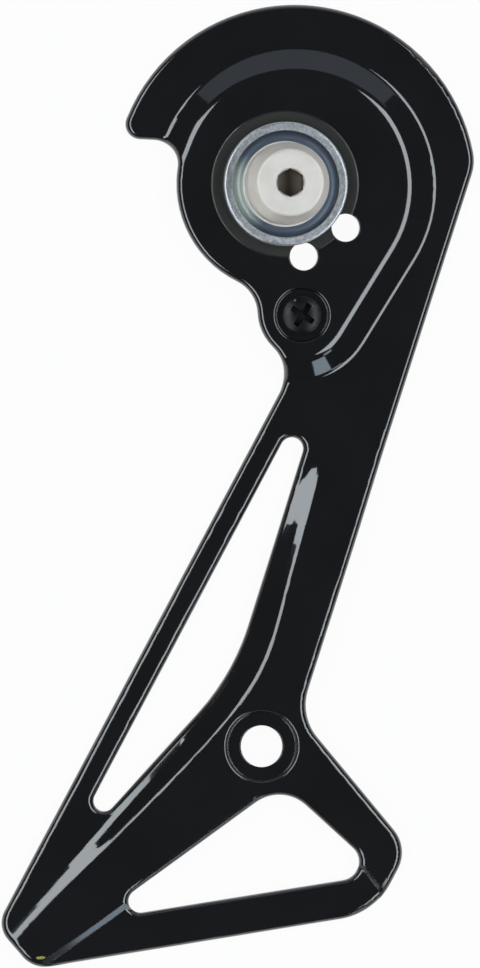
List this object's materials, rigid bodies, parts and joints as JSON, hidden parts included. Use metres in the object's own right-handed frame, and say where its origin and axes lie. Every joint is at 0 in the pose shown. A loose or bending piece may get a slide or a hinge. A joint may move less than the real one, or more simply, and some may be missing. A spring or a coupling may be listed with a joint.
{
  "type": "rear derailleur outer cage plate",
  "caption": "Pressed gloss-black cage plate with a round guard, raised head, long slotted arm and three-sided foot, carrying a pivot axle in a plated bush and a small stop screw.",
  "frame": {"origin": "on the pivot axis, level with the show face of the raised head", "axes": "+Z out of the show face along the pivot axle, +Y from the lower pulley hole towards the guard, +X to the right"},
  "size_m": [0.0759, 0.1541, 0.0176],
  "materials": {
    "plate_paint": "gloss black paint",
    "bush_zinc": "bright zinc plate",
    "axle_nickel": "satin nickel plate, turned",
    "screw_black": "black oxide"
  },
  "bodies": {
    "root": {"cage_plate": "plate_paint", "pivot_bush": "bush_zinc", "pivot_axle": "axle_nickel", "stop_screw": "screw_black"}
  },
  "joints": []
}
